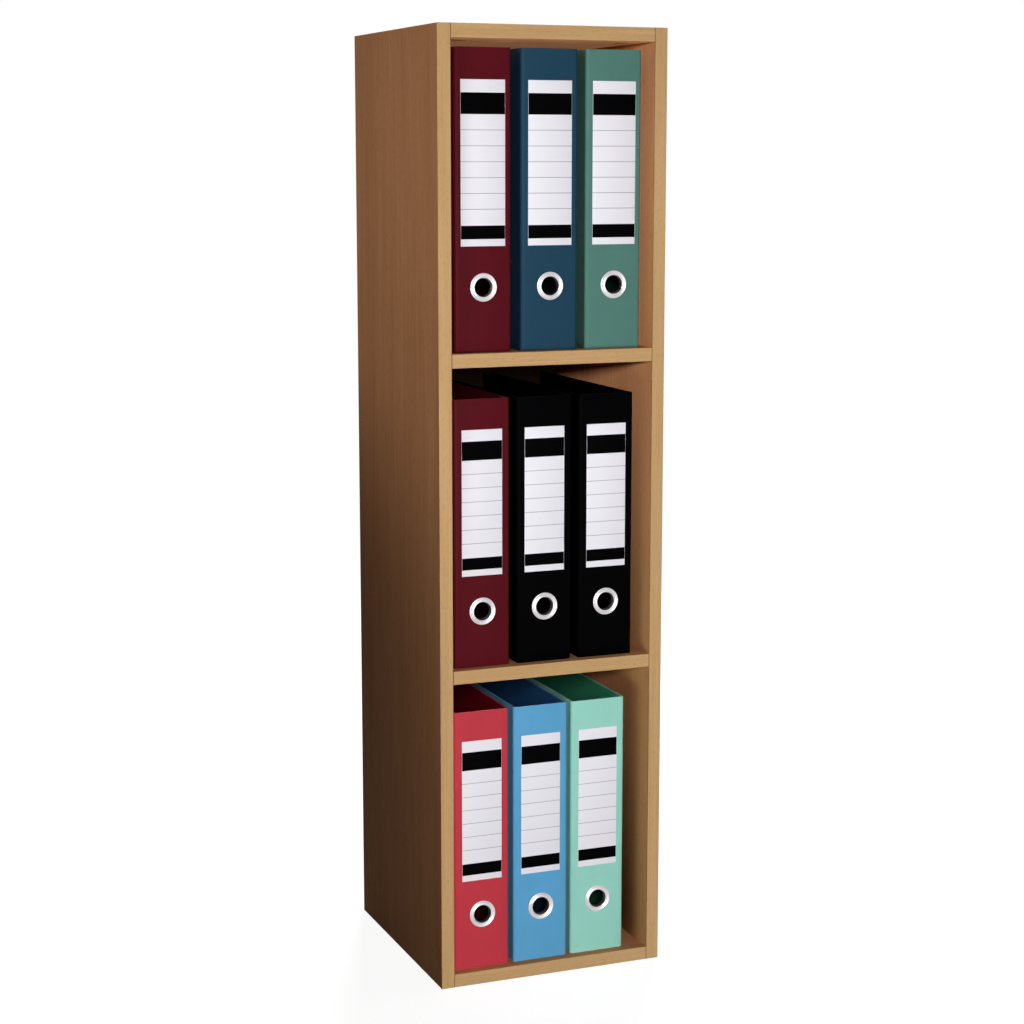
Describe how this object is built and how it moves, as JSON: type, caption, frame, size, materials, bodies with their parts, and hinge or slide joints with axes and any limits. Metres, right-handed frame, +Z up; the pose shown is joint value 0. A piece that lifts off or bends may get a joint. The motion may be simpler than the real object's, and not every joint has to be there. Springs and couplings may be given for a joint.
{
  "type": "file shelf",
  "caption": "Tall narrow open shelf of beech-effect chipboard with stacked compartments holding lever arch files, each free to be drawn out by its finger ring.",
  "frame": {"origin": "on the floor under the middle of the shelf", "axes": "+X to the right seen from the front, +Y to the back, +Z up"},
  "size_m": [0.285, 0.3002, 1.1305],
  "materials": {
    "beech_foil_board": "satin beech-grain melamine foil on chipboard",
    "beech_edge_band": "satin beech-grain melamine edge band",
    "hardboard_back": "smooth painted hardboard",
    "beech_dowel": "fluted raw beech",
    "zinc_steel": "bright zinc plating",
    "zinc_casting": "cast zinc",
    "beech_plastic_cap": "moulded polyethylene",
    "bright_red_film": "matt embossed polypropylene film on board",
    "light_blue_film": "matt embossed polypropylene film on board",
    "mint_film": "matt embossed polypropylene film on board",
    "dark_red_film": "matt embossed polypropylene film on board",
    "black_film": "matt embossed polypropylene film on board",
    "dark_blue_film": "matt embossed polypropylene film on board",
    "teal_film": "matt embossed polypropylene film on board",
    "printed_label": "printed card",
    "nickel_ring": "rolled nickel-plated steel",
    "nickel_steel": "nickel-plated steel"
  },
  "bodies": {
    "shelf": {"left_side": "beech_foil_board", "right_side": "beech_foil_board", "bottom_board": "beech_foil_board", "lower_shelf": "beech_foil_board", "upper_shelf": "beech_foil_board", "top_board": "beech_foil_board", "back_panel": "hardboard_back", "front_bands": "beech_edge_band", "top_bands": "beech_edge_band", "dowels": "beech_dowel", "cam_bolts": "zinc_steel", "cam_housings": "zinc_casting", "cam_caps": "beech_plastic_cap", "back_pins": "zinc_steel"},
    "bottom_left_file": {"bottom_left_cover": "bright_red_film", "bottom_left_label": "printed_label", "bottom_left_ring": "nickel_ring", "bottom_left_mechanism": "nickel_steel", "bottom_left_lever_arch": "nickel_steel"},
    "bottom_centre_file": {"bottom_centre_cover": "light_blue_film", "bottom_centre_label": "printed_label", "bottom_centre_ring": "nickel_ring", "bottom_centre_mechanism": "nickel_steel", "bottom_centre_lever_arch": "nickel_steel"},
    "bottom_right_file": {"bottom_right_cover": "mint_film", "bottom_right_label": "printed_label", "bottom_right_ring": "nickel_ring", "bottom_right_mechanism": "nickel_steel", "bottom_right_lever_arch": "nickel_steel"},
    "middle_left_file": {"middle_left_cover": "dark_red_film", "middle_left_label": "printed_label", "middle_left_ring": "nickel_ring", "middle_left_mechanism": "nickel_steel", "middle_left_lever_arch": "nickel_steel"},
    "middle_centre_file": {"middle_centre_cover": "black_film", "middle_centre_label": "printed_label", "middle_centre_ring": "nickel_ring", "middle_centre_mechanism": "nickel_steel", "middle_centre_lever_arch": "nickel_steel"},
    "middle_right_file": {"middle_right_cover": "black_film", "middle_right_label": "printed_label", "middle_right_ring": "nickel_ring", "middle_right_mechanism": "nickel_steel", "middle_right_lever_arch": "nickel_steel"},
    "top_left_file": {"top_left_cover": "dark_red_film", "top_left_label": "printed_label", "top_left_ring": "nickel_ring", "top_left_mechanism": "nickel_steel", "top_left_lever_arch": "nickel_steel"},
    "top_centre_file": {"top_centre_cover": "dark_blue_film", "top_centre_label": "printed_label", "top_centre_ring": "nickel_ring", "top_centre_mechanism": "nickel_steel", "top_centre_lever_arch": "nickel_steel"},
    "top_right_file": {"top_right_cover": "teal_film", "top_right_label": "printed_label", "top_right_ring": "nickel_ring", "top_right_mechanism": "nickel_steel", "top_right_lever_arch": "nickel_steel"}
  },
  "joints": [
    {"name": "bottom_left_file_slide", "type": "slide", "parent": "shelf", "child": "bottom_left_file", "axis": [0, -1, 0], "range_m": [0, 0.12]},
    {"name": "bottom_centre_file_slide", "type": "slide", "parent": "shelf", "child": "bottom_centre_file", "axis": [0, -1, 0], "range_m": [0, 0.12]},
    {"name": "bottom_right_file_slide", "type": "slide", "parent": "shelf", "child": "bottom_right_file", "axis": [0, -1, 0], "range_m": [0, 0.12]},
    {"name": "middle_left_file_slide", "type": "slide", "parent": "shelf", "child": "middle_left_file", "axis": [0, -1, 0], "range_m": [0, 0.12]},
    {"name": "middle_centre_file_slide", "type": "slide", "parent": "shelf", "child": "middle_centre_file", "axis": [0, -1, 0], "range_m": [0, 0.12]},
    {"name": "middle_right_file_slide", "type": "slide", "parent": "shelf", "child": "middle_right_file", "axis": [0, -1, 0], "range_m": [0, 0.12]},
    {"name": "top_left_file_slide", "type": "slide", "parent": "shelf", "child": "top_left_file", "axis": [0, -1, 0], "range_m": [0, 0.12]},
    {"name": "top_centre_file_slide", "type": "slide", "parent": "shelf", "child": "top_centre_file", "axis": [0, -1, 0], "range_m": [0, 0.12]},
    {"name": "top_right_file_slide", "type": "slide", "parent": "shelf", "child": "top_right_file", "axis": [0, -1, 0], "range_m": [0, 0.12]}
  ]
}
